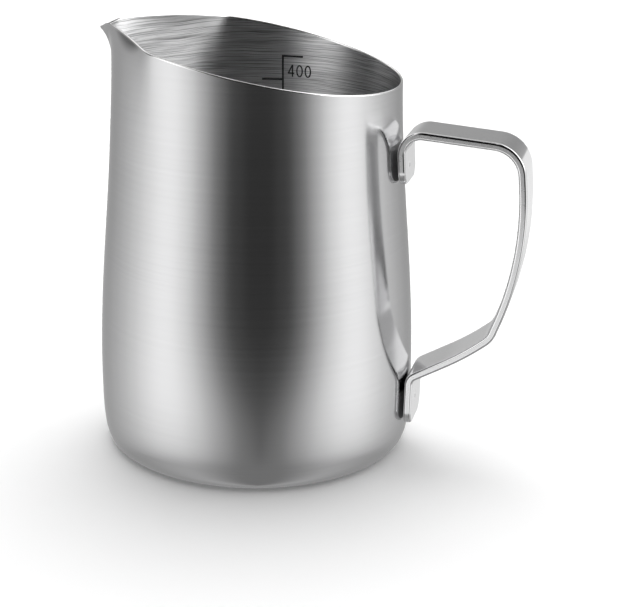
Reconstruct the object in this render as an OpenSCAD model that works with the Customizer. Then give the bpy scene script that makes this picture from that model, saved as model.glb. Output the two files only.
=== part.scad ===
// Milk frothing pitcher: a drawn steel shell with a pressed V spout, and a strap handle welded on by two tabs.
// Millimetres. The origin is on the body's axis in the plane it stands on, +Z is up, the handle is on the +X
// side and the spout on the -X side. The XZ plane is the plane of symmetry.

/* [Body] */
// Outer diameter of the belly, the widest part
belly_d = 81; // [76:0.5:86]
// Outer diameter of the neck, where the wall becomes straight
neck_d = 72.5; // [68:0.5:76]
// Height of the belly's widest ring
belly_z = 19; // [17:0.5:24]
// Height at which the neck becomes straight
neck_z = 98; // [90:0.5:104]
// Thickness of the sheet
wall = 0.7; // [0.5:0.05:1]

/* [Bottom] */
// Width of the rounded corner between the wall and the bottom
corner_w = 6.5; // [5:0.1:8]
// Height of the rounded corner
corner_h = 17; // [14:0.5:20]
// Squareness of the rounded corner: 2 is an ellipse
corner_power = 4.6; // [3:0.1:5]
// Radius of the recess pressed into the bottom
recess_r = 26; // [20:0.5:30]
// Depth of the recess pressed into the bottom
recess_h = 0.6; // [0.4:0.05:1]

/* [Rim] */
// Height of the rim over the axis
rim_z = 101.8; // [98:0.1:106]
// Fall of the rim from the spout to the handle, for each millimetre across
rim_fall = 0.2; // [0.15:0.01:0.22]
// Bow of the rim, for each square millimetre across
rim_bow = 0.00045; // [0:0.00005:0.0008]
// Easing of the rim's fall towards both ends, for each cubic millimetre across
rim_ease = 0.00002; // [0:0.000005:0.00003]

/* [Spout] */
// How far the spout's tip stands out from the neck
spout_reach = 4.8; // [3:0.1:6]
// Half of the angle between the spout's two straight sides, seen from above
spout_half_angle = 53.8; // [50:0.2:58]
// How far the tip of the lip dips under the line of the rim
spout_dip = 1.7; // [0:0.1:2.5]
// Height over which the spout fades into the wall
spout_h = 28; // [22:1:34]

/* [Handle] */
// Width of the strap
strap_w = 14.3; // [12:0.1:16]
// Thickness of the strap
strap_t = 2; // [1.6:0.1:2.4]
// Height of the upper tab's lower end
upper_tab_z = 71.3; // [70:0.1:73]
// Height of the lower tab's lower end
lower_tab_z = 8.4; // [8:0.1:11]
// Radius of the tabs' rounded corners
tab_corner_r = 3.6; // [2:0.1:5]
// Height of the strap's middle line where it leaves the upper tab
grip_top_z = 84.5; // [83.5:0.1:86]
// Distance from the body's axis to the outermost corner of the strap's middle line
grip_x = 69.7; // [67:0.1:72]

/* [Welds] */
// Gap between the tabs and the wall, bridged by the welds
weld_gap = 0.25; // [0.2:0.01:0.35]
// Radius of a spot weld
weld_r = 2.2; // [1.5:0.1:3]
// Height of the upper weld
upper_weld_z = 75.6; // [75:0.1:77]
// Height of the lower weld
lower_weld_z = 14.8; // [13.5:0.1:16]

/* [Hidden] */

belly_r = belly_d / 2;
neck_r = neck_d / 2;
weld_bite = 0.12; // how far a weld reaches into the wall and into the tab
steel = [0.72, 0.72, 0.73];
polished = [0.83, 0.83, 0.84];
weld_grey = [0.55, 0.55, 0.56];

// The shell's wall, as rings of points round the axis.
spout_span = 66; // the spout changes the wall this many degrees either side of its middle
spout_columns = 11; // columns of points on each side of the spout, closer together near its tip
plain_step = 6; // degrees between the other columns
corner_rings = 8;
belly_rings = 6;
top_rings = 8;
upper_z = 74; // above this the rings follow the slanted rim
lip_flare = 0.45; // the share of the spout's reach that is in the curl of its lip
lip_flare_h = 3; // height over which the lip's curl dies away
dip_width = 5; // degrees from the tip at which the dip of the lip has mostly gone
shoulder_blend = 1.2; // how far the spout's sides are blended into the round wall

// The strap's middle line in the XZ plane: x, z and the bend's radius at each corner.
strap_path = [
    [tab_x(upper_tab_z), upper_tab_z, 0],
    [tab_x(grip_top_z), grip_top_z, 4.9],
    [grip_x - 2.6, grip_top_z - 2.35, 7.6],
    [grip_x, grip_top_z - 29.2, 80],
    [grip_x - 8, 33.8, 6],
    [grip_x - 14.7, 28.6, 66],
    [tab_x(21.2), 21.2, 2.6],
    [tab_x(lower_tab_z), lower_tab_z, 0]
];

function limit(v, low, high) = min(max(v, low), high);

// Outer radius of the round wall at height z.
function corner_cut(z) =
    let (t = limit((corner_h - z) / corner_h, 0, 1))
    corner_w * (1 - pow(1 - pow(t, corner_power), 1 / corner_power));
function side_r(z) =
    let (t = limit((z - belly_z) / (neck_z - belly_z), -1, 1))
    neck_r + (belly_r - neck_r) * (1 + cos(180 * t)) / 2;
function wall_r(z) = side_r(z) - corner_cut(z);

// Height of the rim at distance x from the axis, towards the handle.
function rim_at(x) = rim_z - rim_fall * x - rim_bow * x * x + rim_ease * x * x * x;

// Angle from the middle of the spout, for a direction a from the handle.
function off_spout(a) = abs(180 - a);

// Height of the lip in direction a.
function lip_z(a) = rim_at(neck_r * cos(a)) - spout_dip * exp(-pow(off_spout(a) / dip_width, 2));

// How far the lip stands out from the round neck in direction a: two straight sides that meet at the tip
// and run as chords into the round wall, which they draw in a little.
function side_line(b) =
    (neck_r + spout_reach) * sin(spout_half_angle) / sin(min(spout_half_angle + b, 150));
function blend_low(p, q, k) =
    let (h = limit(0.5 + 0.5 * (q - p) / k, 0, 1))
    q * (1 - h) + p * h - k * h * (1 - h);
function lip_push(a) =
    let (b = off_spout(a), line = side_line(b))
    b > spout_span ? 0 :
    b + spout_half_angle < 90 ? line - neck_r :
    blend_low(line, neck_r, shoulder_blend) - neck_r;

// The share of that push left at a depth under the lip.
function push_share(depth) =
    (1 - lip_flare + lip_flare * exp(-depth / lip_flare_h)) * pow(1 - limit(depth / spout_h, 0, 1), 2);

// Directions of the columns of points, counted from the handle.
spout_a = [
    for (i = [-spout_columns : spout_columns])
        180 + sign(i) * spout_span * pow(abs(i) / spout_columns, 1.6)
];
plain_a = [for (a = [180 + spout_span + plain_step : plain_step : 540 - spout_span - 1]) a % 360];
column_a = concat(spout_a, plain_a);
columns = len(column_a);

// Profile of the plain wall from the bottom up, as [radius, height], and the same moved in by the wall.
corner_z = [for (i = [0 : corner_rings - 1]) corner_h * pow(i / corner_rings, 2.2)];
belly_zs = [for (i = [0 : belly_rings - 1]) corner_h + (upper_z - corner_h) * i / belly_rings];
low_z = concat(corner_z, belly_zs);
low_outer = [for (z = low_z) [wall_r(z), z]];
function slope(i) =
    i == 0 ? [1, 0] :
    let (d = low_outer[min(i + 1, len(low_outer) - 1)] - low_outer[i - 1])
    d / norm(d);
low_inner = [for (i = [0 : len(low_outer) - 1]) low_outer[i] + wall * [-slope(i)[1], slope(i)[0]]];

function low_ring(p) = [for (a = column_a) [p[0] * cos(a), p[0] * sin(a), p[1]]];

// A ring of the upper wall, share s of the way from upper_z to the lip.
function top_ring(s, inset) = [
    for (a = column_a)
        let (
            top = lip_z(a),
            z = top - (top - upper_z) * pow(1 - s, 1.7),
            r = side_r(z) + lip_push(a) * push_share(top - z) - inset
        )
        [r * cos(a), r * sin(a), z]
];

// The inside of the recess keeps the sheet's thickness.
floor_rings = [[recess_r + 1.5, wall], [recess_r, wall + recess_h]];

module shell() {
    rings = concat(
        [for (p = low_outer) low_ring(p)],
        [for (i = [0 : top_rings]) top_ring(i / top_rings, 0)],
        [for (i = [top_rings : -1 : 0]) top_ring(i / top_rings, wall)],
        [for (i = [len(low_inner) - 1 : -1 : 0]) low_ring(low_inner[i])],
        [for (p = floor_rings) low_ring(p)]
    );
    last = len(rings) - 1;
    sides = [
        for (i = [0 : last - 1], j = [0 : columns - 1])
            let (a = i * columns + j, b = i * columns + (j + 1) % columns)
            each [[a, a + columns, b], [b, a + columns, b + columns]]
    ];
    under = [for (j = [0 : columns - 1]) j];
    floor_face = [for (j = [columns - 1 : -1 : 0]) last * columns + j];
    polyhedron(points = [for (ring = rings) each ring], faces = concat(sides, [under, floor_face]));
}

module pitcher_body() {
    color(steel)
    difference() {
        shell();
        translate([0, 0, -1]) cylinder(h = 1 + recess_h, r = recess_r, $fn = 96);
    }
}

// Centre distance of a tab's middle line from the axis at height z.
function tab_x(z) = wall_r(z) + weld_gap + strap_t / 2;

// Points of the line p - q - r with its corner q rounded, offset to the left by side.
function flat(p) = [p[0], p[1]];
function unit(v) = v / norm(v);
function left(v) = [-v[1], v[0]];
function bend_points(p, q, r, side) =
    let (
        u = unit(flat(q) - flat(p)),
        v = unit(flat(r) - flat(q)),
        turn = atan2(u[0] * v[1] - u[1] * v[0], u * v),
        hand = sign(turn),
        start = flat(q) - u * q[2] * tan(abs(turn) / 2),
        centre = start + hand * q[2] * left(u),
        steps = ceil(abs(turn) / (q[2] > 20 ? 2 : 7)),
        reach = q[2] - hand * side
    )
    [
        for (i = [0 : steps])
            let (m = turn * i / steps)
            centre - hand * reach * [
                left(u)[0] * cos(m) - left(u)[1] * sin(m),
                left(u)[0] * sin(m) + left(u)[1] * cos(m)
            ]
    ];
function strap_side(side) =
    let (n = len(strap_path), path = strap_path)
    [
        flat(path[0]) + side * left(unit(flat(path[1]) - flat(path[0]))),
        for (i = [1 : n - 2]) each bend_points(path[i - 1], path[i], path[i + 1], side),
        flat(path[n - 1]) + side * left(unit(flat(path[n - 1]) - flat(path[n - 2])))
    ];

// What is cut from a tab's end to round its two corners, with the end at height z.
module tab_corners(z) {
    reach = 10;
    for (s = [-1, 1])
        translate([tab_x(z) - reach / 2, 0, z])
        rotate([90, 0, 90])
        linear_extrude(height = reach)
        translate([s * (strap_w / 2 - tab_corner_r), tab_corner_r])
        difference() {
            translate([s > 0 ? 0 : -tab_corner_r - 1, -tab_corner_r - 1])
                square(tab_corner_r + 1);
            circle(r = tab_corner_r, $fn = 48);
        }
}

module handle() {
    near = strap_side(strap_t / 2);
    far = strap_side(-strap_t / 2);
    color(polished)
    difference() {
        rotate([90, 0, 0])
            linear_extrude(height = strap_w, center = true)
            polygon(concat(near, [for (i = [len(far) - 1 : -1 : 0]) far[i]]));
        tab_corners(upper_tab_z);
        tab_corners(lower_tab_z);
    }
}

// A weld between the wall and a tab at height z.
module spot_weld(z) {
    color(weld_grey)
    translate([wall_r(z) - weld_bite, 0, z])
    rotate([0, 90, 0])
    cylinder(h = weld_gap + 2 * weld_bite, r = weld_r, $fn = 48);
}

module upper_weld() {
    spot_weld(upper_weld_z);
}

module lower_weld() {
    spot_weld(lower_weld_z);
}

pitcher_body();
handle();
upper_weld();
lower_weld();
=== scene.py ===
import math

import bpy
import numpy as np
from mathutils import Matrix, Vector


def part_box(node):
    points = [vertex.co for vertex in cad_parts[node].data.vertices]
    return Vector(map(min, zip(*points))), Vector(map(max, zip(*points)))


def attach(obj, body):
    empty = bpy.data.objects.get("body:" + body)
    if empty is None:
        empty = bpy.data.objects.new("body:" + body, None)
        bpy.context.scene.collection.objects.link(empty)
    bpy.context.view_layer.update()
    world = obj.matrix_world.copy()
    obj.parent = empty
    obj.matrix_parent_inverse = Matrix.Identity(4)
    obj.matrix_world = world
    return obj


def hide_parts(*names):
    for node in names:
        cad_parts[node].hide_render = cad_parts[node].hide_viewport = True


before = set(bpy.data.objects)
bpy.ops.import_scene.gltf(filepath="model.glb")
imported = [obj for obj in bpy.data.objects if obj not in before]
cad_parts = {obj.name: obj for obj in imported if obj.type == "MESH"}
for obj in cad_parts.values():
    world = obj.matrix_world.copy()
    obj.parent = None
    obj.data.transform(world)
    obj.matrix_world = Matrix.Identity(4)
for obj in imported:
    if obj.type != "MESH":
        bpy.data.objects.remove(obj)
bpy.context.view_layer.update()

# The shapes below are worked out in millimetres and scaled to metres when a mesh is made.
MM = 0.001


def in_mm(corner):
    return np.array(corner) / MM


body_low, body_high = map(in_mm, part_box("pitcher_body"))
handle_low, handle_high = map(in_mm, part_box("handle"))
upper_weld_low, upper_weld_high = map(in_mm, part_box("upper_weld"))
lower_weld_low, lower_weld_high = map(in_mm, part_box("lower_weld"))

# ---------------------------------------------------------------- the body's wall, as in the CAD source

belly_r = body_high[1]
neck_r = 36.25
belly_z = 19.0
neck_z = 98.0
wall = 0.7
corner_w = 6.5
corner_h = 17.0
corner_power = 4.6
recess_r = 26.0
recess_h = 0.6
recess_ease = 0.9  # width of the pressed step round the recess
rim_z = 101.8
rim_fall = 0.2
rim_bow = 0.00045
rim_trim = 0.015  # keeps the round lip inside the CAD model's box
rim_ease = 0.00002
spout_reach = -body_low[0] - neck_r
spout_half_angle = 53.8
spout_span = 66.0
spout_dip = 1.7
dip_width = 5.0
spout_h = 28.0
lip_flare = 0.45
lip_flare_h = 3.0
shoulder_blend = 1.2
tip_round = 0.9  # degrees over which the spout's fold is rounded
tip_round_reach = 6.0
upper_z = 74.0  # above this the rings follow the slanted rim


def sind(a):
    return np.sin(np.radians(a))


def cosd(a):
    return np.cos(np.radians(a))


def side_r(z):
    t = np.clip((z - belly_z) / (neck_z - belly_z), -1, 1)
    return neck_r + (belly_r - neck_r) * (1 + np.cos(math.pi * t)) / 2


def corner_cut(z):
    t = np.clip((corner_h - z) / corner_h, 0, 1)
    return corner_w * (1 - (1 - t**corner_power) ** (1 / corner_power))


def wall_r(z):
    return side_r(z) - corner_cut(z)


def rim_at(x):
    return rim_z - rim_fall * x - rim_bow * x**2 + rim_ease * x**3


def off_spout(a):
    return np.abs(180 - a)


def lip_z(a):
    return rim_at(neck_r * cosd(a)) - rim_trim - spout_dip * np.exp(-((off_spout(a) / dip_width) ** 2))


def side_line(b):
    return (neck_r + spout_reach) * sind(spout_half_angle) / sind(np.minimum(spout_half_angle + b, 150))


def blend_low(p, q, k):
    h = np.clip(0.5 + 0.5 * (q - p) / k, 0, 1)
    return q * (1 - h) + p * h - k * h * (1 - h)


def lip_push(a):
    b = off_spout(a)
    soft = np.hypot(b, tip_round) - tip_round * np.exp(-((b / tip_round_reach) ** 2))
    line = side_line(soft)
    push = np.where(b + spout_half_angle < 90, line, blend_low(line, neck_r, shoulder_blend)) - neck_r
    return np.where(b > spout_span, 0, push)


def push_share(depth):
    deep = np.maximum(depth - wall / 2, 0)
    fade = np.clip(deep / spout_h, 0, 1)
    return (1 - lip_flare + lip_flare * np.exp(-deep / lip_flare_h)) * (1 - fade) ** 2


# ---------------------------------------------------------------- mesh helpers


def make_object(name, points, faces, material_of_face, materials, uv=None, normals=None):
    """A smooth-shaded mesh object from points in millimetres. uv has one pair for each point."""
    mesh = bpy.data.meshes.new(name)
    mesh.from_pydata((np.asarray(points) * MM).tolist(), [], faces)
    for material in materials:
        mesh.materials.append(material)
    mesh.polygons.foreach_set("material_index", material_of_face)
    mesh.polygons.foreach_set("use_smooth", [True] * len(faces))
    if uv is not None:
        layer = mesh.uv_layers.new(name="along")
        loops = np.zeros(len(mesh.loops), np.int32)
        mesh.loops.foreach_get("vertex_index", loops)
        layer.data.foreach_set("uv", (np.asarray(uv)[loops] * MM).astype(np.float32).ravel())
    mesh.update()
    if normals is not None:
        mesh.normals_split_custom_set_from_vertices(np.asarray(normals).tolist())
    obj = bpy.data.objects.new(name, mesh)
    bpy.context.scene.collection.objects.link(obj)
    return obj


def ring_faces(rings, columns):
    """Quads between neighbouring closed rings of points, seen from outside when the rings go up."""
    faces = []
    for low in range(0, (rings - 1) * columns, columns):
        high = low + columns
        for j in range(columns):
            k = (j + 1) % columns
            faces.append((low + j, low + k, high + k, high + j))
    return faces


# ---------------------------------------------------------------- the body


def body_columns(at_spout=141, elsewhere=179):
    """Directions of the columns of points, counted from the handle and closer together at the spout."""
    share = np.linspace(-1, 1, at_spout)
    spout = 180 + np.sign(share) * spout_span * np.abs(share) ** 1.5
    plain = np.linspace(180 + spout_span, 540 - spout_span, elsewhere + 2)[1:-1] % 360
    return np.concatenate([spout, plain])


def low_profile(corner_rows=30, wall_rows=44):
    """The plain wall from the foot up, as [radius, height], and the same moved in by the sheet."""
    corner = corner_h * np.linspace(0, 1, corner_rows, endpoint=False) ** 2.4
    z = np.concatenate([corner, np.linspace(corner_h, upper_z, wall_rows, endpoint=False)])
    outer = np.stack([wall_r(z), z], 1)
    slope = np.gradient(outer, axis=0)
    slope[0] = [1, 0]
    slope /= np.linalg.norm(slope, axis=1, keepdims=True)
    inner = outer + wall * np.stack([-slope[:, 1], slope[:, 0]], 1)
    return outer, inner


def build_body(materials):
    a = body_columns()
    columns = len(a)
    around = np.stack([cosd(a), sind(a)], 1)
    top = lip_z(a)
    outer, inner = low_profile()
    lip_r = wall / 2
    rings, zones = [], []
    OUT, RIM, IN, UNDER = range(4)  # the materials' order
    across = (0.06, 0.2, 0.4, 0.6, 0.8, 0.93)  # rings across the recess, as shares of its radius
    up_wall = np.linspace(0, 1, 46)

    def add(r, z, zone):
        r, z = np.broadcast_to(r, columns), np.broadcast_to(z, columns)
        rings.append(np.column_stack([around * r[:, None], z]))
        zones.append(zone)

    def top_rings(inset, shares, zone):
        for s in shares:
            depth = lip_r + (top - upper_z - lip_r) * (1 - s) ** 1.7
            z = top - depth
            add(side_r(z) + lip_push(a) * push_share(depth) - inset, z, zone)

    for share in across:
        add((recess_r - recess_ease) * share, recess_h, UNDER)
    for turn in np.linspace(0, 1, 9):
        add(recess_r - recess_ease * (1 - turn), recess_h * (1 + math.cos(math.pi * turn)) / 2, UNDER)
    for share in (0.33, 0.66):
        add(recess_r + (outer[0][0] - recess_r) * share, 0, UNDER)
    for r, z in outer:
        add(r, z, OUT)
    top_rings(0, up_wall, OUT)
    crown_r = side_r(top - lip_r) + lip_push(a) * push_share(lip_r) - lip_r
    for turn in np.linspace(0, math.pi, 11)[1:-1]:
        add(crown_r + lip_r * math.cos(turn), top - lip_r + lip_r * math.sin(turn), RIM)
    top_rings(wall, up_wall[::-1], IN)
    for r, z in inner[::-1]:
        add(r, z, IN)
    floor_r = inner[0][0]
    for turn in np.linspace(0, 1, 9):
        r = recess_r + wall - (recess_ease + wall) * turn
        add(min(r, floor_r), wall + recess_h * (1 - math.cos(math.pi * turn)) / 2, IN)
    for share in reversed(across):
        add((recess_r - recess_ease) * share, wall + recess_h, IN)

    points = np.concatenate(rings + [[[0, 0, recess_h]], [[0, 0, wall + recess_h]]])
    faces = ring_faces(len(rings), columns)
    material = []
    for lower, higher in zip(zones, zones[1:]):
        material += [RIM if RIM in (lower, higher) else higher] * columns
    low_centre, floor_centre = len(points) - 2, len(points) - 1
    last = (len(rings) - 1) * columns
    for j in range(columns):
        k = (j + 1) % columns
        faces.append((k, j, low_centre))
        faces.append((last + j, last + k, floor_centre))
        material += [UNDER, IN]
    uv = np.concatenate([body_uv(a, np.array(rings), zones.index(IN)), [[0, 0], [0, 0]]])
    return make_object("steel_shell", points, faces, material, materials, uv)


def body_uv(a, grid, first_inside):
    """u runs round the body, and v along its profile from the innermost ring of the base or the cup."""
    angle = np.radians(np.where(a > 350, a - 360, a))
    steps = np.linalg.norm(np.diff(grid, axis=0), axis=2)
    v = np.zeros(grid.shape[:2])
    v[1:first_inside] = np.cumsum(steps[: first_inside - 1], axis=0)
    v[first_inside:-1] = np.cumsum(steps[first_inside:][::-1], axis=0)[::-1]
    return np.stack([np.broadcast_to(angle * belly_r, v.shape), v], 2).reshape(-1, 2)


# ---------------------------------------------------------------- the handle

strap_w = handle_high[1] - handle_low[1]
strap_t = 2.0
edge_r = 0.62  # rounding of the strap's long edges
weld_gap = 0.25  # between a tab's back and the wall
upper_tab_z = 71.3
lower_tab_z = handle_low[2]
tab_corner_r = 3.6
tab_length = 9.0  # the stretch whose back is left matt where it was pressed on the wall
grip_top_z = 84.5
grip_x = 69.695  # a hair less than in the CAD source, so that the smooth curve stays inside its box


def tab_x(z):
    return float(wall_r(z)) + weld_gap + strap_t / 2


# The strap's middle line in the XZ plane: x, z and the bend's radius at each corner.
strap_path = [
    (tab_x(upper_tab_z), upper_tab_z, 0),
    (tab_x(grip_top_z), grip_top_z, 4.9),
    (grip_x - 2.6, grip_top_z - 2.35, 7.6),
    (grip_x, grip_top_z - 29.2, 80),
    (grip_x - 8, 33.8, 6),
    (grip_x - 14.7, 28.6, 66),
    (tab_x(21.2), 21.2, 2.6),
    (tab_x(lower_tab_z), lower_tab_z, 0),
]


class Strap:
    """The strap's middle line as straight runs and arcs, followed by its length s."""

    def __init__(self, corners):
        self.runs = []  # (length, start, direction, turn)
        here = np.array(corners[0][:2])
        for before, corner, after in zip(corners, corners[1:], corners[2:]):
            c = np.array(corner[:2])
            u = c - np.array(before[:2])
            u /= np.linalg.norm(u)
            v = np.array(after[:2]) - c
            v /= np.linalg.norm(v)
            turn = math.atan2(u[0] * v[1] - u[1] * v[0], u @ v)
            start = c - u * corner[2] * math.tan(abs(turn) / 2)
            self.runs.append((np.linalg.norm(start - here), here, u, 0))
            self.runs.append((corner[2] * abs(turn), start, u, turn))
            here = c + v * corner[2] * math.tan(abs(turn) / 2)
            u = v
        end = np.array(corners[-1][:2])
        self.runs.append((np.linalg.norm(end - here), here, u, 0))
        self.length = sum(run[0] for run in self.runs)

    def at(self, s):
        """Place and direction at length s."""
        for length, start, u, turn in self.runs:
            if s <= length + 1e-9:
                break
            s -= length
        left = np.array([-u[1], u[0]])
        if turn == 0:
            return start + u * s, u
        m = turn * s / length
        r = length / turn
        along = u * math.cos(m) + left * math.sin(m)
        return start + u * r * math.sin(m) + left * r * (1 - math.cos(m)), along

    def stations(self, straight_step, turn_step):
        """Lengths at which the strap gets a row of points."""
        marks, at = [0.0], 0.0
        for length, _, _, turn in self.runs:
            turn_steps = math.ceil(abs(math.degrees(turn)) / turn_step)
            steps = max(1, math.ceil(length / straight_step), turn_steps)
            marks += [at + length * i / steps for i in range(1, steps + 1)]
            at += length
        return marks


# Weld marks on the tabs' outer faces: length along the strap from its nearer end, and y.
upper_mark = (0.5 * (upper_weld_low[2] + upper_weld_high[2]) - upper_tab_z, -1.4)
lower_mark = (0.5 * (lower_weld_low[2] + lower_weld_high[2]) - lower_tab_z, -1.5)
dimple_depth, dimple_r = 0.26, 0.5
ridge_h, ridge_r, ridge_w = 0.05, 1.05, 0.4  # the raised ring round the dimple
mark_reach = 2.6  # beyond this distance the face is flat
mark_step = 0.13  # spacing of the points around a mark


def weld_dimple(distance):
    dimple = -dimple_depth * math.exp(-((distance / dimple_r) ** 2))
    return dimple + ridge_h * math.exp(-(((distance - ridge_r) / ridge_w) ** 2))


def dimple_slope(distance, step=0.01):
    return (weld_dimple(distance + step) - weld_dimple(max(distance - step, 0))) / (2 * step)


def build_handle(materials):
    strap = Strap(strap_path)
    half_w = strap_w / 2
    half_t = strap_t / 2
    fine = [d * mark_step for d in range(-16, 17)]

    def between_corners(lengths):
        return [s for s in lengths if tab_corner_r < s < strap.length - tab_corner_r]

    marks = {round(s, 4) for s in between_corners(strap.stations(1.2, 4))}
    # Length, y and side of each weld mark. The strap turns over on its way, so the two sides differ.
    spots = [(upper_mark[0], upper_mark[1], -1), (strap.length - lower_mark[0], lower_mark[1], 1)]
    for s0, _, _ in spots:
        marks = {s for s in marks if abs(s - s0) > 2.2} | {round(s0 + d, 4) for d in fine}
    marks = sorted(between_corners(marks))
    corner = [math.radians(x) for x in range(0, 91, 6)]
    # Places across the strap, finer where the weld marks are, as shares of the flat face's half width.
    marks_y = (upper_mark[1] + lower_mark[1]) / 2
    q_fine = [marks_y + d for d in fine]
    q_rest = [q for q in np.linspace(-half_w + edge_r, half_w - edge_r, 17) if abs(q - marks_y) > 2.5]
    shares = np.array(sorted(q_fine + q_rest)) / (half_w - edge_r)
    shares = np.clip(shares, -1, 1)

    def outline(inset):
        """The outline moved in by inset: length, half width, and how far it faces the start and the side."""
        r = tab_corner_r - inset
        far = strap.length - tab_corner_r
        flat = half_w - tab_corner_r
        ends = [(r * math.cos(t), flat + r * math.sin(t), math.cos(t), math.sin(t)) for t in corner]
        rows = [(tab_corner_r - ahead, half, c, w) for ahead, half, c, w in ends]
        rows += [(s, half_w - inset, 0, 1) for s in marks]
        rows += [(far + ahead, half, -c, w) for ahead, half, c, w in reversed(ends)]
        return rows

    points, normals, uv = [], [], []

    def put(s, y, h, n_s, n_y, n_h):
        place, along = strap.at(min(max(s, 0), strap.length))
        left = np.array([-along[1], along[0]])
        p = place + left * h
        n = along * n_s + left * n_h
        points.append((p[0], y, p[1]))
        normals.append((n[0], n_y, n[1]))
        uv.append((s, y + h))
        return len(points) - 1

    def face_grid(h):
        """The grid of one broad face, with the weld marks on the side that looks away from the body."""
        sign = 1 if h > 0 else -1
        grid = []
        for s, half, _, _ in outline(edge_r):
            row = []
            for q in shares:
                y = q * half
                lift, tilt_s, tilt_y = 0.0, 0.0, 0.0
                for s0, y0, marked_side in spots:
                    d = math.hypot(s - s0, y - y0)
                    if sign == marked_side and 0 < d < mark_reach:
                        lift = weld_dimple(d)
                        tilt_s, tilt_y = dimple_slope(d) * (s - s0) / d, dimple_slope(d) * (y - y0) / d
                n = np.array([-tilt_s, -tilt_y, sign])
                n /= np.linalg.norm(n)
                row.append(put(s, y, h + sign * lift, n[0], n[1], n[2]))
            grid.append(row)
        return grid

    top = face_grid(half_t)
    bottom = face_grid(-half_t)
    faces, rubbed = [], []
    row_s = [row[0] for row in outline(edge_r)]
    for i in range(len(top) - 1):
        for j in range(len(shares) - 1):
            rubbed += [row_s[i] < tab_length, row_s[i] > strap.length - tab_length]
            faces.append((top[i][j], top[i + 1][j], top[i + 1][j + 1], top[i][j + 1]))
            faces.append((bottom[i][j], bottom[i][j + 1], bottom[i + 1][j + 1], bottom[i + 1][j]))

    def border(grid):
        last = len(grid) - 1
        right = [grid[i][-1] for i in range(last + 1)]
        far = [grid[last][j] for j in range(len(shares) - 2, 0, -1)]
        left_side = [grid[i][0] for i in range(last, -1, -1)]
        near = [grid[0][j] for j in range(1, len(shares) - 1)]
        return right + far + left_side + near

    def border_ring(turn, h):
        """The closed ring of edge points at one step of the rounding, in the border's order."""
        inset = edge_r * (1 - math.sin(turn))
        rows = outline(inset)
        out, up = math.sin(turn), math.cos(turn)
        ring = [put(s, half, h, -c * out, w * out, up) for s, half, c, w in rows]
        last_s, last_half = rows[-1][0], rows[-1][1]
        ring += [put(last_s, shares[j] * last_half, h, out, 0, up) for j in range(len(shares) - 2, 0, -1)]
        ring += [put(s, -half, h, -c * out, -w * out, up) for s, half, c, w in reversed(rows)]
        first_s, first_half = rows[0][0], rows[0][1]
        ring += [put(first_s, shares[j] * first_half, h, -out, 0, up) for j in range(1, len(shares) - 1)]
        return ring

    turns = [math.radians(15 * k) for k in range(1, 7)]
    belt = [border(top)]
    for turn in turns:
        belt.append(border_ring(turn, half_t - edge_r * (1 - math.cos(turn))))
    for turn in reversed(turns):
        under = math.pi - turn
        belt.append(border_ring(under, -half_t + edge_r * (1 - math.cos(turn))))
    belt.append(border(bottom))
    n = len(belt[0])
    material_of_face = [2 if near_tab else 0 for near_tab in rubbed]
    for strip, (upper, lower) in enumerate(zip(belt, belt[1:])):
        for k in range(n):
            m = (k + 1) % n
            faces.append((upper[k], upper[m], lower[m], lower[k]))
            material_of_face.append(1 if strip == len(turns) else 0)
    return make_object("strap_handle", points, faces, material_of_face, materials, uv, normals)


# ---------------------------------------------------------------- the spot welds


def build_weld(name, low, high, material):
    """A squeezed nugget with a waist and a slightly uneven edge, between the wall and the tab."""
    centre_z = (low[2] + high[2]) / 2
    r = (high[1] - low[1]) / 2
    waist = 0.1
    columns = 72
    a = np.linspace(0, 2 * math.pi, columns, endpoint=False)
    uneven = 1 - 0.03 * (1 + np.sin(3 * a + 0.6)) - 0.012 * (1 + np.sin(11 * a))
    face_rings = (0.3, 0.6, 0.85, 0.97)
    profile = [(0, k) for k in face_rings]
    profile += [(t, 1 - waist * math.sin(math.pi * t)) for t in np.linspace(0, 1, 13)]
    profile += [(1, k) for k in reversed(face_rings)]
    points = []
    for t, k in profile:
        x = low[0] + (high[0] - low[0]) * t
        ring_r = r * k * uneven
        points += zip([x] * columns, ring_r * np.cos(a), centre_z + ring_r * np.sin(a))
    points += [(low[0], 0, centre_z), (high[0], 0, centre_z)]
    faces = ring_faces(len(profile), columns)
    last = (len(profile) - 1) * columns
    for j in range(columns):
        k = (j + 1) % columns
        faces.append((k, j, len(points) - 2))
        faces.append((last + j, last + k, len(points) - 1))
    return make_object(name, points, faces, [0] * len(faces), [material])


# ---------------------------------------------------------------- the measuring mark

mark_lift = 0.035  # how far the mark stands off the inner wall, and how far it reaches into it
mark_angle = 94.3  # direction of the scale line, counted from the handle
scale_pen = 0.52
upper_tick_z, lower_tick_z, scale_foot_z = 94.3, 87.9, 76.0
upper_tick_w = 5.6
lower_tick_w = 5.7
digit_pen = 0.38
digit_h = 3.3
digit_w = 1.75
digit_pitch = 1.35 * digit_w
digits_from = 1.4  # the first digit's distance from the scale line
digits_z = 88.7
bar_h = 0.3 * digit_h  # height of a four's bar
stem_u = 0.72 * digit_w  # place of a four's stem


def inner_r(z):
    return float(side_r(z)) - wall


def stroke(points, pen, closed=False):
    """Left and right edge points of a pen stroke along a flat line of points."""
    p = np.array(points, float)
    if closed:
        following, previous = np.roll(p, -1, 0), np.roll(p, 1, 0)
    else:
        following = np.vstack([p[1:], 2 * p[-1] - p[-2]])
        previous = np.vstack([2 * p[0] - p[1], p[:-1]])
    d = following - previous
    d /= np.linalg.norm(d, axis=1, keepdims=True)
    side = np.stack([-d[:, 1], d[:, 0]], 1) * pen / 2
    return p + side, p - side


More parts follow.
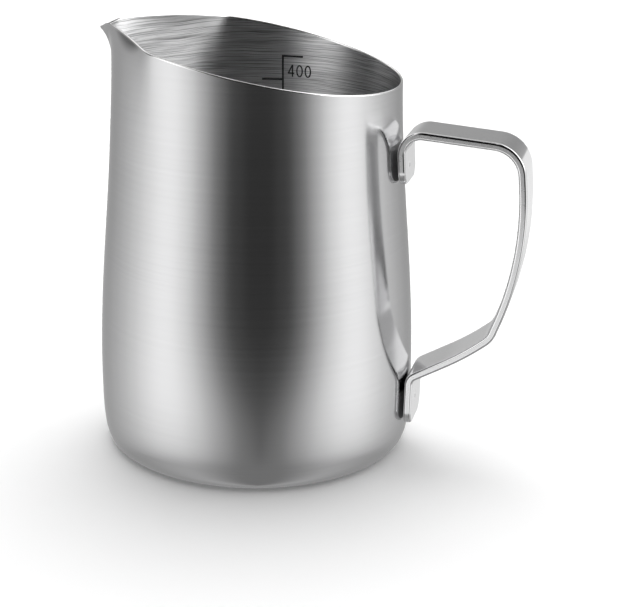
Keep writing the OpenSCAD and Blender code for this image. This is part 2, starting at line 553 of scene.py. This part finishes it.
def finer(points, step=0.35):
    """The same line of points with more points on it."""
    out = [points[0]]
    for p, q in zip(points, points[1:]):
        n = max(1, math.ceil(math.dist(p, q) / step))
        out += [(p[0] + (q[0] - p[0]) * i / n, p[1] + (q[1] - p[1]) * i / n) for i in range(1, n + 1)]
    return out


def build_mark(material):
    """A scale line with two ticks and a plain number, wrapped on the inner wall.

    It is drawn flat, with u running from the scale line towards the handle.
    """
    points, faces = [], []

    def wrap(u, z, lift):
        r = inner_r(z)
        t = math.radians(mark_angle) - u / r
        return ((r - lift) * math.cos(t), (r - lift) * math.sin(t), z)

    def add(line, pen, closed=False):
        left, right = stroke(line, pen, closed)
        base, n = len(points), len(left)
        for p, q in zip(left, right):
            points.extend([wrap(*p, mark_lift), wrap(*q, mark_lift)])
            points.extend([wrap(*q, -mark_lift), wrap(*p, -mark_lift)])
        for i in range(n if closed else n - 1):
            for e in range(4):
                f = (e + 1) % 4
                k = (i + 1) % n
                faces.append((base + 4 * i + e, base + 4 * i + f, base + 4 * k + f, base + 4 * k + e))
        if not closed:
            faces.append(tuple(base + e for e in (3, 2, 1, 0)))
            faces.append(tuple(base + 4 * (n - 1) + e for e in (0, 1, 2, 3)))

    def digit_zero(u, z):
        ring = [(u + digit_w / 2 * (1 + 0.86 * math.cos(t)), z + digit_h / 2 * (1 + 0.9 * math.sin(t)))
                for t in np.linspace(0, 2 * math.pi, 36, endpoint=False)]
        add(ring, digit_pen, closed=True)

    def digit_four(u, z):
        add(finer([(u + stem_u, z + digit_h), (u + 0.06 * digit_w, z + bar_h)]), digit_pen)
        add(finer([(u, z + bar_h), (u + digit_w, z + bar_h)]), digit_pen)
        add(finer([(u + stem_u, z + digit_h), (u + stem_u, z)]), digit_pen)

    add(finer([(0, scale_foot_z), (0, upper_tick_z + scale_pen / 2)]), scale_pen)
    add(finer([(0, upper_tick_z), (upper_tick_w, upper_tick_z)]), scale_pen)
    add(finer([(0, lower_tick_z), (-lower_tick_w, lower_tick_z)]), scale_pen)
    digit_four(digits_from, digits_z)
    digit_zero(digits_from + digit_pitch, digits_z)
    digit_zero(digits_from + 2 * digit_pitch, digits_z)
    return make_object("measuring_mark", points, faces, [0] * len(faces), [material])


# ---------------------------------------------------------------- materials


class Nodes:
    """Short calls for building a node tree."""

    def __init__(self, tree):
        self.tree = tree
        tree.nodes.clear()

    def add(self, kind, **settings):
        node = self.tree.nodes.new(kind)
        for key, value in settings.items():
            setattr(node, key, value)
        return node

    def link(self, a, b):
        self.tree.links.new(a, b)

    def math(self, operation, a, b=None):
        node = self.add("ShaderNodeMath", operation=operation)
        for i, value in enumerate((a, b)):
            if value is None:
                continue
            if isinstance(value, (int, float)):
                node.inputs[i].default_value = value
            else:
                self.link(value, node.inputs[i])
        return node.outputs[0]

    def noise(self, scale, detail=2.0, stretch=(1, 1, 1), roughness=0.5, distort=None, base=None):
        if base is None:
            base = self.add("ShaderNodeTexCoord").outputs["Object"]
        mapping = self.add("ShaderNodeMapping")
        mapping.inputs["Scale"].default_value = stretch
        self.link(base, mapping.inputs["Vector"])
        vector = mapping.outputs[0]
        if distort is not None:
            shift = self.add("ShaderNodeVectorMath", operation="ADD")
            self.link(vector, shift.inputs[0])
            self.link(distort, shift.inputs[1])
            vector = shift.outputs[0]
        node = self.add("ShaderNodeTexNoise")
        node.inputs["Scale"].default_value = scale
        node.inputs["Detail"].default_value = detail
        node.inputs["Roughness"].default_value = roughness
        self.link(vector, node.inputs["Vector"])
        return node.outputs["Fac"]

    def remap(self, value, low, high, to_low, to_high):
        node = self.add("ShaderNodeMapRange")
        self.link(value, node.inputs["Value"])
        node.inputs["From Min"].default_value = low
        node.inputs["From Max"].default_value = high
        node.inputs["To Min"].default_value = to_low
        node.inputs["To Max"].default_value = to_high
        return node.outputs[0]

    def centred(self, value, share=1.0):
        """value - 0.5, times share."""
        return self.math("MULTIPLY", self.math("SUBTRACT", value, 0.5), share)

    def mix(self, a, b, share):
        rest = self.math("SUBTRACT", 1.0, share)
        return self.math("ADD", self.math("MULTIPLY", a, rest), self.math("MULTIPLY", b, share))


def profile_place(n):
    """The point's x and y, with its way along the body's profile in place of z."""
    place = n.add("ShaderNodeSeparateXYZ")
    n.link(n.add("ShaderNodeTexCoord").outputs["Object"], place.inputs[0])
    along = n.add("ShaderNodeSeparateXYZ")
    n.link(n.add("ShaderNodeUVMap", uv_map="along").outputs[0], along.inputs[0])
    joined = n.add("ShaderNodeCombineXYZ")
    n.link(place.outputs["X"], joined.inputs["X"])
    n.link(place.outputs["Y"], joined.inputs["Y"])
    n.link(along.outputs["Y"], joined.inputs["Z"])
    return joined.outputs[0]


def groove_lines(n, grooves, sway, base):
    """A sum of stretched noises around 0. sway is how far, in metres, the lines wander up and down."""
    total = None
    for round_scale, up_scale, weight in grooves:
        shift = None
        if sway:
            wander = n.add("ShaderNodeCombineXYZ")
            n.link(n.centred(n.noise(30.0 + round_scale, 1.0), sway * up_scale), wander.inputs["Z"])
            shift = wander.outputs[0]
        lines = n.noise(1.0, 3.0, (round_scale, round_scale, up_scale), 0.6, shift, base)
        part = n.centred(lines, weight)
        total = part if total is None else n.math("ADD", total, part)
    return total


smudge = 0.03  # how much soft clouds change the tone of every steel


def steel(
    name, tone, rough, spread, aniso=0.0, grooves=(), profile=False, sway=0.0, bump=0.0, vary=0.06, metal=1.0
):
    """Brushed or polished steel. grooves are (scale round, scale up, weight), as noise cells per metre.

    With profile, the grooves follow the turned profile of the body instead of plain height. spread and
    vary say how much the grooves change the roughness and the tone.
    """
    material = bpy.data.materials.new(name)
    material.use_nodes = True
    n = Nodes(material.node_tree)
    out = n.add("ShaderNodeOutputMaterial")
    shader = n.add("ShaderNodeBsdfPrincipled")
    n.link(shader.outputs[0], out.inputs["Surface"])
    shader.inputs["Metallic"].default_value = metal
    shader.inputs["Anisotropic"].default_value = aniso
    shader.inputs["Anisotropic Rotation"].default_value = 0.25  # a quarter turn from the way u runs
    if aniso:
        tangent = n.add("ShaderNodeTangent", direction_type="UV_MAP")
        tangent.uv_map = "along"
        n.link(tangent.outputs[0], shader.inputs["Tangent"])
    base = profile_place(n) if profile else None
    clouds = n.centred(n.noise(38.0, 3.0))
    lines = groove_lines(n, grooves, sway, base) if grooves else clouds
    value = n.math("ADD", n.math("MULTIPLY", lines, vary * 2), 1.0)
    value = n.math("ADD", value, n.math("MULTIPLY", clouds, smudge))
    colour = n.add("ShaderNodeVectorMath", operation="SCALE")
    colour.inputs[0].default_value = tone
    n.link(value, colour.inputs["Scale"])
    n.link(colour.outputs[0], shader.inputs["Base Color"])
    roughness = n.math("ADD", n.math("MULTIPLY", lines, spread * 2), rough)
    roughness = n.math("ADD", roughness, n.math("MULTIPLY", clouds, spread * 0.5))
    n.link(n.math("MAXIMUM", roughness, 0.03), shader.inputs["Roughness"])
    if bump:
        relief = n.add("ShaderNodeBump")
        relief.inputs["Strength"].default_value = 1.0
        relief.inputs["Distance"].default_value = bump
        n.link(n.math("ADD", lines, 0.5), relief.inputs["Height"])
        n.link(relief.outputs[0], shader.inputs["Normal"])
    return material


def etched():
    """The dark, slightly uneven tone of a laser mark."""
    material = bpy.data.materials.new("etched_mark")
    material.use_nodes = True
    n = Nodes(material.node_tree)
    out = n.add("ShaderNodeOutputMaterial")
    shader = n.add("ShaderNodeBsdfPrincipled")
    n.link(shader.outputs[0], out.inputs["Surface"])
    grain = n.noise(4000.0, 2.0)
    tone = n.remap(grain, 0.3, 0.7, 0.012, 0.035)
    mix = n.add("ShaderNodeCombineColor")
    for i in range(3):
        n.link(tone, mix.inputs[i])
    n.link(mix.outputs[0], shader.inputs["Base Color"])
    n.link(n.remap(grain, 0.3, 0.7, 0.55, 0.75), shader.inputs["Roughness"])
    return material


satin = steel(
    "satin_outside", (0.74, 0.74, 0.745), 0.15, 0.025, aniso=0.5,
    grooves=((14, 2600, 1.0), (30, 900, 0.5)), bump=1e-6, vary=0.035,
)
polish_rim = steel("polished_rim", (0.9, 0.9, 0.9), 0.16, 0.02, vary=0.02)
turned = steel(
    "turned_inside", (0.76, 0.76, 0.765), 0.4, 0.12, aniso=1.0, profile=True,
    grooves=((60, 6500, 1.0), (30, 2600, 0.5)), bump=1e-5, vary=1.5, sway=0.0014,
)
under = steel(
    "spun_underside", (0.7, 0.7, 0.705), 0.3, 0.05, aniso=0.6, profile=True,
    grooves=((30, 2200, 1.0),), bump=4e-6,
)
handle_steel = steel(
    "polished_strap", (0.86, 0.86, 0.865), 0.1, 0.02, aniso=0.3,
    grooves=((900, 900, 0.3), (60, 60, 0.5)), bump=4e-7, vary=0.02,
)
edge_steel = steel(
    "sheared_strap_edge", (0.8, 0.8, 0.805), 0.28, 0.06,
    grooves=((900, 900, 0.6),), bump=1e-6, vary=0.08,
)
matt_steel = steel(
    "matt_tab_back", (0.8, 0.8, 0.805), 0.6, 0.06,
    grooves=((600, 600, 0.6),), bump=2e-6, vary=0.1, metal=0.3,
)
weld_steel = steel("heat_tinted_weld", (0.4, 0.36, 0.32), 0.38, 0.08, vary=0.2)
mark_ink = etched()

# ---------------------------------------------------------------- the pieces

shell = build_body([satin, polish_rim, turned, under])
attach(shell, "root")
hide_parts("pitcher_body")

strap_handle = build_handle([handle_steel, edge_steel, matt_steel])
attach(strap_handle, "root")
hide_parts("handle")

weld_boxes = {
    "upper_weld": (upper_weld_low, upper_weld_high),
    "lower_weld": (lower_weld_low, lower_weld_high),
}
for weld_name, (low, high) in weld_boxes.items():
    weld = build_weld(weld_name + "_nugget", low, high, weld_steel)
    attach(weld, "root")
    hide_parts(weld_name)

mark = build_mark(mark_ink)
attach(mark, "root")

# ---------------------------------------------------------------- camera

camera_distance = 0.38682  # metres from the pitcher's axis
camera_height = 0.16632
camera_azimuth = math.radians(15.574)  # from -Y, towards the handle
pitch = 0.32583  # radians, as the two below
yaw = 0.04231
roll = 0.01321

toward_camera = Vector((math.sin(camera_azimuth), -math.cos(camera_azimuth), 0))
to_the_right = Vector((math.cos(camera_azimuth), math.sin(camera_azimuth), 0))
level = to_the_right * math.sin(yaw) - toward_camera * math.cos(yaw)
ahead = level * math.cos(pitch) + Vector((0, 0, -math.sin(pitch)))
side = ahead.cross(Vector((0, 0, 1))).normalized()
above = side.cross(ahead)
right = side * math.cos(roll) + above * math.sin(roll)
up = above * math.cos(roll) - side * math.sin(roll)

camera = bpy.data.objects.new("camera", bpy.data.cameras.new("camera"))
camera.data.lens = 88.03
camera.data.sensor_width = 36
camera.data.clip_start = 0.01
camera.data.clip_end = 100
camera_place = toward_camera * camera_distance + Vector((0, 0, camera_height))
camera_turn = Matrix((right, up, -ahead)).transposed()
camera.matrix_world = Matrix.Translation(camera_place) @ camera_turn.to_4x4()
bpy.context.scene.collection.objects.link(camera)
bpy.context.scene.camera = camera

# ---------------------------------------------------------------- floor and light

stage_r = 9000
stage_columns = 64
brightest = 2.4  # the brightest that a soft box may be
overhead_light = 0.5
overhead_from = Vector((0, 0, 0.906)) - toward_camera * 0.423
key_light = 3.6
key_from = Vector((0, 0, 0.903)) - toward_camera * 0.42 + to_the_right * 0.09
fill_light = 0.2
surround_white = 1.1  # how bright the surround looks to the camera


def stage_ring(tilt):
    """The points of one ring of the surround, seen from its middle tilt radians above the floor."""
    turns = [2 * math.pi * j / stage_columns for j in range(stage_columns)]
    r, z = stage_r * math.cos(tilt), stage_r * math.sin(tilt)
    return [(r * math.cos(turn), r * math.sin(turn), z) for turn in turns]


def build_floor():
    material = bpy.data.materials.new("floor_white")
    material.use_nodes = True
    shader = material.node_tree.nodes["Principled BSDF"]
    shader.inputs["Base Color"].default_value = (0.92, 0.92, 0.92, 1)
    shader.inputs["Roughness"].default_value = 1.0
    shader.inputs["Specular IOR Level"].default_value = 0.0
    floor = make_object("floor", stage_ring(0), [tuple(range(stage_columns))], [0], [material])
    floor.visible_glossy = False
    floor.visible_shadow = False


def build_dome():
    """A plain white surround that lights the floor. Reflections see the world's soft boxes instead."""
    rows = 16
    points = []
    for i in range(rows + 1):
        points += stage_ring(0.5 * math.pi * i / (rows + 0.5) - 0.02)
    faces = ring_faces(rows + 1, stage_columns)
    faces.append(tuple(range(rows * stage_columns, (rows + 1) * stage_columns)))
    material = bpy.data.materials.new("surround_white")
    material.use_nodes = True
    n = Nodes(material.node_tree)
    place = n.add("ShaderNodeNewGeometry")
    toward_key = n.add("ShaderNodeVectorMath", operation="DOT_PRODUCT")
    n.link(place.outputs["Position"], toward_key.inputs[0])
    toward_key.inputs[1].default_value = key_from / (stage_r * MM)
    lobe = n.math("POWER", n.math("MAXIMUM", toward_key.outputs["Value"], 0.0), 4.0)
    lit = n.math("ADD", n.math("MULTIPLY", lobe, key_light), fill_light)
    seen_directly = n.add("ShaderNodeLightPath").outputs["Is Camera Ray"]
    strength = n.math("MAXIMUM", lit, n.math("MULTIPLY", seen_directly, surround_white))
    glow = n.add("ShaderNodeEmission")
    n.link(strength, glow.inputs["Strength"])
    n.link(glow.outputs[0], n.add("ShaderNodeOutputMaterial").inputs["Surface"])
    dome = make_object("surround", points, faces, [0] * len(faces), [material])
    dome.visible_glossy = False
    dome.visible_shadow = False


def ramp(n, value, low, high, stops):
    """A smooth curve through (place, height) stops, for places from low to high."""
    node = n.add("ShaderNodeValToRGB")
    node.color_ramp.interpolation = "CARDINAL"
    elements = node.color_ramp.elements
    for k, (place, height) in enumerate(stops):
        share = (place - low) / (high - low)
        element = elements[k] if k < 2 else elements.new(share)
        element.position = share
        v = height / brightest
        element.color = (v, v, v, 1)
    n.link(n.remap(value, low, high, 0.0, 1.0), node.inputs[0])
    return n.math("MULTIPLY", node.outputs[0], brightest)


def build_world():
    """What the steel reflects: soft boxes left and right, a dark gap between them and grey behind."""
    world = bpy.data.worlds.new("studio")
    world.use_nodes = True
    bpy.context.scene.world = world
    n = Nodes(world.node_tree)
    out = n.add("ShaderNodeOutputWorld")
    direction = n.add("ShaderNodeTexCoord").outputs["Generated"]

    def along(axis):
        node = n.add("ShaderNodeVectorMath", operation="DOT_PRODUCT")
        n.link(direction, node.inputs[0])
        node.inputs[1].default_value = axis
        return node.outputs["Value"]

    # Degrees to the right of the camera's direction, and degrees above the floor.
    azimuth = n.math("DEGREES", n.math("ARCTAN2", along(to_the_right), along(toward_camera)))
    elevation = n.math("DEGREES", n.math("ARCSINE", along((0, 0, 1))))
    off_middle = n.math("ABSOLUTE", n.math("SUBTRACT", azimuth, 2.0))
    off_front = n.math("ABSOLUTE", azimuth)

    # Below the horizon the dark gap gets narrower and a little lighter.
    from_side = n.math("MAXIMUM", n.math("SUBTRACT", 85.0, off_middle), 0.0)
    narrower = n.math("MULTIPLY", from_side, n.remap(elevation, -12.0, -24.0, 0.0, 0.26))
    lift = n.remap(elevation, -12.0, -24.0, 0.0, 0.05)
    level_band = ramp(n, n.math("ADD", off_middle, narrower), 0, 180, [
        (0, 0.034), (12, 0.044), (25, 0.1), (37, 0.31), (50, 0.68), (62, 0.97), (74, 1.08), (87, 0.96),
        (99, 0.79), (111, 0.64), (123, 0.52), (135, 0.43), (148, 0.37), (164, 0.4), (180, 0.55),
    ])
    # The upper soft boxes lean apart, so that the gap between them widens upwards.
    climb = n.math("MAXIMUM", n.math("DIVIDE", elevation, 60.0), 0.0)
    lean = n.math("MULTIPLY", n.math("POWER", climb, 3.0), 26.0)
    leaned = n.math("MULTIPLY", n.math("SIGN", azimuth), n.math("SUBTRACT", off_front, lean))
    high_band = ramp(n, leaned, -180, 180, [
        (-180, 0.36), (-150, 0.2), (-110, 0.08), (-92, 0.2), (-78, 0.95), (-62, 1.5), (-44, 0.9),
        (-28, 0.06), (0, 0.02), (48, 0.02), (52, 0.25), (55, 1.6), (62, 2.0), (100, 2.4), (112, 1.2),
        (124, 0.36), (180, 0.36),
    ])
    low_band = ramp(n, off_middle, 0, 180, [(0, 0.2), (25, 0.24), (60, 0.42), (110, 0.35), (180, 0.35)])
    seen = n.mix(n.math("ADD", level_band, lift), high_band, n.remap(elevation, 2.0, 11.0, 0.0, 1.0))
    behind = n.remap(off_front, 128.0, 136.0, 0.0, 1.0)
    seen = n.mix(seen, 1.0, n.math("MULTIPLY", behind, n.remap(elevation, 18.0, 20.0, 0.0, 1.0)))
    seen = n.mix(seen, overhead_light, n.remap(along(overhead_from), 0.91, 0.95, 0.0, 1.0))
    seen = n.mix(seen, low_band, n.remap(elevation, -21.0, -36.0, 0.0, 1.0))
    background = n.add("ShaderNodeBackground")
    background.inputs["Color"].default_value = (1, 1, 1, 1)
    n.link(seen, background.inputs["Strength"])
    n.link(background.outputs[0], out.inputs["Surface"])
    world.cycles_visibility.camera = False
    world.cycles_visibility.diffuse = False


def reflector(name, middle, width, height, facing, glow):
    """A soft panel that shows only in the handle's reflections. Sizes are in millimetres."""
    data = bpy.data.lights.new(name, "AREA")
    data.shape = "RECTANGLE"
    data.size = width * MM
    data.size_y = height * MM
    data.energy = glow * math.pi * data.size * data.size_y
    light = bpy.data.objects.new(name, data)
    light.location = Vector(middle) * MM
    light.rotation_euler = Vector(facing).to_track_quat("-Z", "Z").to_euler()
    light.visible_camera = False
    light.visible_diffuse = False
    light.light_linking.receiver_collection = handle_group
    bpy.context.scene.collection.objects.link(light)


handle_group = bpy.data.collections.new("handle_group")
handle_group.objects.link(strap_handle)
reflector("grip_panel", (92, 110, 5), 34, 150, (0, -1, 0), 0.5)
reflector("tab_panel", (60, 110, 5), 30, 150, (0, -1, 0), 0.35)
reflector("edge_panel", (30, -260, -62), 240, 120, (0, 1, 0), 0.75)

build_floor()
build_dome()
build_world()
bpy.context.scene.view_settings.view_transform = "Standard"
